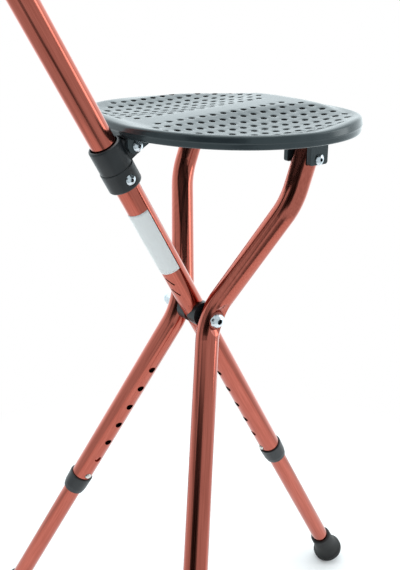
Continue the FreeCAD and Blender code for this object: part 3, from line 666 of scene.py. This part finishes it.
# One for camera, glossy and transmission rays, nought for the rest
def ray_kinds(tree):
    path = add(tree, "ShaderNodeLightPath")
    total = path.outputs["Is Camera Ray"]
    for kind in ("Is Glossy Ray", "Is Transmission Ray"):
        larger = add(tree, "ShaderNodeMath", operation="MAXIMUM")
        tree.links.new(total, larger.inputs[0])
        tree.links.new(path.outputs[kind], larger.inputs[1])
        total = larger.outputs["Value"]
    return total


# Pale floor that keeps the object's shadow and fades into the white backdrop
FLOOR_RADIUS = 0.62
FLOOR_SIDES = 96
FLOOR_LIFT = 0.12
SHADOW_REACH = (0.32, 0.6)


def make_stage():
    bm = bmesh.new()
    middle = Vector((HUB.x, HUB.y, 0))
    ring = circle(middle.x, middle.y, FLOOR_RADIUS, FLOOR_SIDES)
    bm.faces.new([bm.verts.new((x, y, 0)) for x, y in ring])
    mesh = bpy.data.meshes.new("floor")
    bm.to_mesh(mesh)
    bm.free()
    floor = bpy.data.objects.new("floor", mesh)
    bpy.context.collection.objects.link(floor)
    material, tree, shader = new_material("studio_floor")
    shader.inputs["Base Color"].default_value = (0.88, 0.88, 0.88, 1)
    shader.inputs["Roughness"].default_value = 0.9
    shader.inputs["Specular IOR Level"].default_value = 0.1
    seen = ray_kinds(tree)
    lift = add(tree, "ShaderNodeEmission")
    lift.inputs["Strength"].default_value = FLOOR_LIFT
    lifted = add(tree, "ShaderNodeAddShader")
    tree.links.new(shader.outputs["BSDF"], lifted.inputs[0])
    tree.links.new(lift.outputs["Emission"], lifted.inputs[1])
    white = add(tree, "ShaderNodeEmission")
    white.inputs["Strength"].default_value = 1.0
    distance = add(tree, "ShaderNodeVectorMath", operation="DISTANCE")
    tree.links.new(object_vector(tree), distance.inputs[0])
    distance.inputs[1].default_value = middle
    fade = add(tree, "ShaderNodeMapRange", interpolation_type="SMOOTHSTEP")
    fade.inputs["From Min"].default_value = SHADOW_REACH[0]
    fade.inputs["From Max"].default_value = SHADOW_REACH[1]
    tree.links.new(distance.outputs["Value"], fade.inputs["Value"])
    looks = add(tree, "ShaderNodeMixShader")
    tree.links.new(fade.outputs["Result"], looks.inputs[0])
    tree.links.new(lifted.outputs["Shader"], looks.inputs[1])
    tree.links.new(white.outputs["Emission"], looks.inputs[2])
    mix = add(tree, "ShaderNodeMixShader")
    output = next(n for n in tree.nodes if n.type == "OUTPUT_MATERIAL")
    tree.links.new(seen, mix.inputs[0])
    tree.links.new(shader.outputs["BSDF"], mix.inputs[1])
    tree.links.new(looks.outputs["Shader"], mix.inputs[2])
    tree.links.new(mix.outputs["Shader"], output.inputs["Surface"])
    mesh.materials.append(material)


# Room round the object, fixed in its directions: white, brighter towards the far side of the
# seat, with dark gaps between the panels on the near side. Each gap is its azimuth and
# elevation, its half width and how dark it is.
NEAR_SIDE = -127.2
GAPS = (
    (-43, 12, 15, 0.92), (-25, 13, 16, 0.92), (-10, 18, 13, 0.84), (-13, 3, 10, 0.78),
    (-37, -9, 6, 0.65), (-14, -24, 6, 0.50), (-4, -33, 8, 0.68), (8, -38, 8, 0.68),
    (-88, 12, 8, 0.62), (-70, 10, 7, 0.50),
)
GAP_SOFTNESS = (1.3, 0.7)
ROOM_LEVEL = (0.80, 1.75)
ROOM_BRIGHTEST = (180, 12)
ROOM_SPREAD = (100, 25)
ROOM_COLOUR = (0.88, 0.97, 1, 1)


def heading(azimuth, elevation):
    turn, rise = radians(NEAR_SIDE + azimuth), radians(elevation)
    return Vector((cos(turn) * cos(rise), sin(turn) * cos(rise), sin(rise)))


# Map range that goes from one end to the other as a direction nears another, in degrees
def closeness(tree, direction, towards, far, near):
    dot = add(tree, "ShaderNodeVectorMath", operation="DOT_PRODUCT")
    tree.links.new(direction, dot.inputs[0])
    dot.inputs[1].default_value = towards
    spread = add(tree, "ShaderNodeMapRange", interpolation_type="SMOOTHSTEP")
    spread.inputs["From Min"].default_value = cos(radians(far))
    spread.inputs["From Max"].default_value = cos(radians(near))
    tree.links.new(dot.outputs["Value"], spread.inputs["Value"])
    return spread


def make_world():
    world = bpy.data.worlds.new("studio")
    bpy.context.scene.world = world
    world.use_nodes = True
    tree = world.node_tree
    tree.nodes.clear()
    path = add(tree, "ShaderNodeLightPath")
    backdrop = add(tree, "ShaderNodeBackground")
    backdrop.inputs["Color"].default_value = (1, 1, 1, 1)
    backdrop.inputs["Strength"].default_value = 1.0
    direction = add(tree, "ShaderNodeTexCoord").outputs["Generated"]
    behind = closeness(tree, direction, heading(*ROOM_BRIGHTEST), *ROOM_SPREAD)
    behind.inputs["To Min"].default_value = ROOM_LEVEL[0]
    behind.inputs["To Max"].default_value = ROOM_LEVEL[1]
    level = behind.outputs["Result"]
    for azimuth, elevation, half_width, darkness in GAPS:
        far, near = (half_width * share for share in GAP_SOFTNESS)
        gap = closeness(tree, direction, heading(azimuth, elevation), far, near)
        gap.inputs["To Min"].default_value = 1.0
        gap.inputs["To Max"].default_value = 1.0 - darkness
        product = add(tree, "ShaderNodeMath", operation="MULTIPLY")
        tree.links.new(level, product.inputs[0])
        tree.links.new(gap.outputs["Result"], product.inputs[1])
        level = product.outputs["Value"]
    room = add(tree, "ShaderNodeBackground")
    room.inputs["Color"].default_value = ROOM_COLOUR
    tree.links.new(level, room.inputs["Strength"])
    mix = add(tree, "ShaderNodeMixShader")
    output = add(tree, "ShaderNodeOutputWorld")
    tree.links.new(path.outputs["Is Camera Ray"], mix.inputs[0])
    tree.links.new(room.outputs["Background"], mix.inputs[1])
    tree.links.new(backdrop.outputs["Background"], mix.inputs[2])
    tree.links.new(mix.outputs["Shader"], output.inputs["Surface"])


# Soft lamps: each has its place in metres from the hub, its size and its power
LAMPS = (
    ("top_panel", (0.1, 0.1, 1.7), (1.4, 1.4), 10),
    ("right_panel", (1.5, -0.9, 0.5), (0.5, 1.4), 5),
)


def area_lamp(name, offset, size, power):
    lamp = bpy.data.lights.new(name, "AREA")
    lamp.shape = "RECTANGLE"
    lamp.size, lamp.size_y = size
    lamp.energy = power
    thing = bpy.data.objects.new(name, lamp)
    bpy.context.collection.objects.link(thing)
    away = Vector(offset)
    thing.location = HUB + away
    thing.rotation_euler = away.to_track_quat("Z", "Y").to_euler()


def make_lamps():
    for lamp in LAMPS:
        area_lamp(*lamp)


# Camera at the photograph's place, from the hub
CAMERA_PLACE = (-407.37, -537.25, 271.54)
CAMERA_YAW = radians(37.55)
CAMERA_DROP = radians(20.03)
FOCAL_PIXELS = 754.9
PHOTO_HEIGHT = 570
SENSOR = 36.0


def make_camera():
    camera = bpy.data.cameras.new("camera")
    camera.sensor_width = SENSOR
    camera.lens = FOCAL_PIXELS / PHOTO_HEIGHT * SENSOR
    camera.clip_start = 0.01
    thing = bpy.data.objects.new("camera", camera)
    bpy.context.collection.objects.link(thing)
    thing.location = at(*CAMERA_PLACE)
    thing.rotation_euler = (pi / 2 - CAMERA_DROP, 0, -CAMERA_YAW)
    bpy.context.scene.camera = thing


dress_cad()
make_seat()
make_hangers()
make_label()
make_stage()
make_world()
make_lamps()
make_camera()
bpy.context.scene.view_settings.view_transform = "Standard"

bpy.context.view_layer.update()
